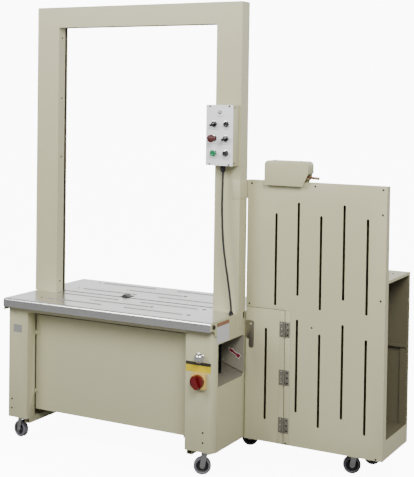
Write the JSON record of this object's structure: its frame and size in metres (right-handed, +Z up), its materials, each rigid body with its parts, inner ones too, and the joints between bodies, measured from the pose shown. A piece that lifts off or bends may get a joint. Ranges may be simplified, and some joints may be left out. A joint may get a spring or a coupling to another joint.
{
  "type": "arch strapping machine",
  "caption": "Semi automatic arch strapping machine with a stainless table, a strap track arch, a control box and a slotted strap dispenser cabinet on casters.",
  "frame": {"origin": "on the floor under the middle of the whole machine's bounding box", "axes": "+Z up, -Y towards the operator's side with the door and the controls, +X along the strap towards the dispenser cabinet"},
  "size_m": [1.746, 0.662, 2.028],
  "materials": {
    "cream_paint": "semi-gloss enamel",
    "stainless_steel": "brushed",
    "bright_plate": "brushed",
    "black_plastic": "satin",
    "red_plastic": "gloss",
    "green_plastic": "gloss",
    "lamp_lens": "gloss",
    "yellow_plastic": "satin",
    "chrome": "polished",
    "plain_label": "satin",
    "dark_steel": "oiled",
    "motor_paint": "satin",
    "zinc_plate": "zinc plated",
    "bronze_rod": "satin",
    "grey_tread": "matt",
    "reel_grey": "satin"
  },
  "bodies": {
    "frame": {"base_frame": "cream_paint", "front_frame": "cream_paint", "right_leg": "cream_paint", "left_end_panel": "cream_paint", "right_end_panel": "cream_paint", "rear_panel": "cream_paint", "table_front_plate": "stainless_steel", "table_rear_plate": "stainless_steel", "arch_left_column": "cream_paint", "arch_right_column": "cream_paint", "arch_top_beam": "cream_paint", "strap_track": "dark_steel", "control_box": "cream_paint", "control_face_plate": "bright_plate", "pilot_lamp": "lamp_lens", "cable_fittings": "black_plastic", "control_cable": "black_plastic", "main_switch_base": "yellow_plastic", "label_plates": "plain_label", "strap_inlet_guide": "cream_paint", "head_frame": "dark_steel", "drive_motor": "motor_paint", "electrics_box": "motor_paint", "caster_plates": "zinc_plate", "cabinet_front_panel": "cream_paint", "cabinet_body": "cream_paint", "cabinet_hinges": "zinc_plate", "hood": "cream_paint", "reel_axle": "zinc_plate", "link_bracket": "cream_paint", "screws": "dark_steel"},
    "front_door": {"front_door": "cream_paint"},
    "cabinet_door": {"cabinet_door": "cream_paint"},
    "door_latch": {"door_latch": "zinc_plate"},
    "main_switch": {"main_switch_handle": "red_plastic"},
    "adjusting_knob": {"adjusting_knob": "chrome"},
    "speed_selector": {"speed_selector": "black_plastic"},
    "mode_selector": {"mode_selector": "black_plastic"},
    "reset_button": {"reset_button": "black_plastic"},
    "feed_button": {"feed_button": "black_plastic"},
    "stop_button": {"stop_button": "red_plastic"},
    "start_button": {"start_button": "green_plastic"},
    "anvil": {"sealing_anvil": "dark_steel"},
    "cam_shaft": {"cam_shaft": "zinc_plate"},
    "feed_roller": {"feed_roller": "dark_steel"},
    "reel": {"strap_reel": "reel_grey"},
    "hood_roller": {"hood_roller": "zinc_plate"},
    "guide_lever": {"guide_lever": "bronze_rod"},
    "caster_swivel_1": {"caster_fork_1": "zinc_plate"},
    "caster_roll_1": {"caster_wheel_1": "grey_tread"},
    "caster_swivel_2": {"caster_fork_2": "zinc_plate"},
    "caster_roll_2": {"caster_wheel_2": "grey_tread"},
    "caster_swivel_3": {"caster_fork_3": "zinc_plate"},
    "caster_roll_3": {"caster_wheel_3": "grey_tread"},
    "caster_swivel_4": {"caster_fork_4": "zinc_plate"},
    "caster_roll_4": {"caster_wheel_4": "grey_tread"},
    "caster_swivel_5": {"caster_fork_5": "zinc_plate"},
    "caster_roll_5": {"caster_wheel_5": "grey_tread"},
    "caster_swivel_6": {"caster_fork_6": "zinc_plate"},
    "caster_roll_6": {"caster_wheel_6": "grey_tread"}
  },
  "joints": [
    {"name": "front_door_hinge", "type": "hinge", "parent": "frame", "child": "front_door", "pos_m": [-0.7475, -0.225, 0.3], "axis": [0, 0, -1], "range_deg": [0, 95]},
    {"name": "cabinet_door_hinge", "type": "hinge", "parent": "frame", "child": "cabinet_door", "pos_m": [0.422, -0.0092, 0.3], "axis": [0, 0, 1], "range_deg": [0, 110]},
    {"name": "door_latch_turn", "type": "hinge", "parent": "cabinet_door", "child": "door_latch", "pos_m": [0.259, -0.0055, 0.616], "axis": [0, -1, 0], "range_deg": [0, 70]},
    {"name": "main_switch_turn", "type": "hinge", "parent": "frame", "child": "main_switch", "pos_m": [0.158, -0.309, 0.411], "axis": [0, -1, 0], "range_deg": [0, 90]},
    {"name": "adjusting_knob_turn", "type": "hinge", "parent": "frame", "child": "adjusting_knob", "pos_m": [0.164, -0.299, 0.512], "axis": [0, -1, 0], "range_deg": [-150, 150]},
    {"name": "speed_selector_turn", "type": "hinge", "parent": "frame", "child": "speed_selector", "pos_m": [0.1295, -0.139, 1.494], "axis": [0, -1, 0], "range_deg": [-45, 45]},
    {"name": "mode_selector_turn", "type": "hinge", "parent": "frame", "child": "mode_selector", "pos_m": [0.1875, -0.139, 1.432], "axis": [0, -1, 0], "range_deg": [-45, 45]},
    {"name": "reset_button_press", "type": "slide", "parent": "frame", "child": "reset_button", "axis": [0, 1, 0], "range_m": [0, 0.004], "stiffness_N_per_m": 300},
    {"name": "feed_button_press", "type": "slide", "parent": "frame", "child": "feed_button", "axis": [0, 1, 0], "range_m": [0, 0.004], "stiffness_N_per_m": 300},
    {"name": "start_button_press", "type": "slide", "parent": "frame", "child": "start_button", "axis": [0, 1, 0], "range_m": [0, 0.004], "stiffness_N_per_m": 300},
    {"name": "stop_button_press", "type": "slide", "parent": "frame", "child": "stop_button", "axis": [0, 1, 0], "range_m": [0, 0.006], "stiffness_N_per_m": 300},
    {"name": "anvil_slide", "type": "slide", "parent": "frame", "child": "anvil", "axis": [0, 1, 0], "range_m": [0, 0.018]},
    {"name": "cam_shaft_turn", "type": "hinge", "parent": "frame", "child": "cam_shaft", "pos_m": [-0.393, 0.009, 0.52], "axis": [1, 0, 0], "continuous": true},
    {"name": "feed_roller_turn", "type": "hinge", "parent": "frame", "child": "feed_roller", "pos_m": [-0.393, -0.071, 0.56], "axis": [1, 0, 0], "continuous": true},
    {"name": "reel_spin", "type": "hinge", "parent": "frame", "child": "reel", "pos_m": [0.562, 0.181, 0.528], "axis": [0, 1, 0], "continuous": true},
    {"name": "hood_roller_spin", "type": "hinge", "parent": "frame", "child": "hood_roller", "pos_m": [0.403, 0.001, 1.292], "axis": [0, 1, 0], "continuous": true},
    {"name": "guide_lever_swing", "type": "hinge", "parent": "frame", "child": "guide_lever", "pos_m": [0.473, 0.001, 1.276], "axis": [0, 1, 0], "range_deg": [-6, 6], "stiffness_Nm_per_rad": 6},
    {"name": "caster_swivel_1", "type": "hinge", "parent": "frame", "child": "caster_swivel_1", "pos_m": [-0.811, -0.227, 0.09], "axis": [0, 0, 1], "continuous": true},
    {"name": "caster_roll_1", "type": "hinge", "parent": "caster_swivel_1", "child": "caster_roll_1", "pos_m": [-0.83056, -0.22284, 0.038], "axis": [-0.2079, -0.9781, 0], "continuous": true},
    {"name": "caster_swivel_2", "type": "hinge", "parent": "frame", "child": "caster_swivel_2", "pos_m": [0.171, -0.231, 0.09], "axis": [0, 0, 1], "continuous": true},
    {"name": "caster_roll_2", "type": "hinge", "parent": "caster_swivel_2", "child": "caster_roll_2", "pos_m": [0.15334, -0.24039, 0.038], "axis": [0.4695, -0.8829, 0], "continuous": true},
    {"name": "caster_swivel_3", "type": "hinge", "parent": "frame", "child": "caster_swivel_3", "pos_m": [-0.811, 0.229, 0.09], "axis": [0, 0, 1], "continuous": true},
    {"name": "caster_roll_3", "type": "hinge", "parent": "caster_swivel_3", "child": "caster_roll_3", "pos_m": [-0.79368, 0.239, 0.038], "axis": [-0.5, 0.866, 0], "continuous": true},
    {"name": "caster_swivel_4", "type": "hinge", "parent": "frame", "child": "caster_swivel_4", "pos_m": [0.173, 0.229, 0.09], "axis": [0, 0, 1], "continuous": true},
    {"name": "caster_roll_4", "type": "hinge", "parent": "caster_swivel_4", "child": "caster_roll_4", "pos_m": [0.15398, 0.22282, 0.038], "axis": [0.309, -0.9511, 0], "continuous": true},
    {"name": "caster_swivel_5", "type": "hinge", "parent": "frame", "child": "caster_swivel_5", "pos_m": [0.718, 0.112, 0.09], "axis": [0, 0, 1], "continuous": true},
    {"name": "caster_roll_5", "type": "hinge", "parent": "caster_swivel_5", "child": "caster_roll_5", "pos_m": [0.70034, 0.10261, 0.038], "axis": [0.4695, -0.8829, 0], "continuous": true},
    {"name": "caster_swivel_6", "type": "hinge", "parent": "frame", "child": "caster_swivel_6", "pos_m": [0.718, 0.254, 0.09], "axis": [0, 0, 1], "continuous": true},
    {"name": "caster_roll_6", "type": "hinge", "parent": "caster_swivel_6", "child": "caster_roll_6", "pos_m": [0.73679, 0.26084, 0.038], "axis": [-0.342, 0.9397, 0], "continuous": true}
  ]
}
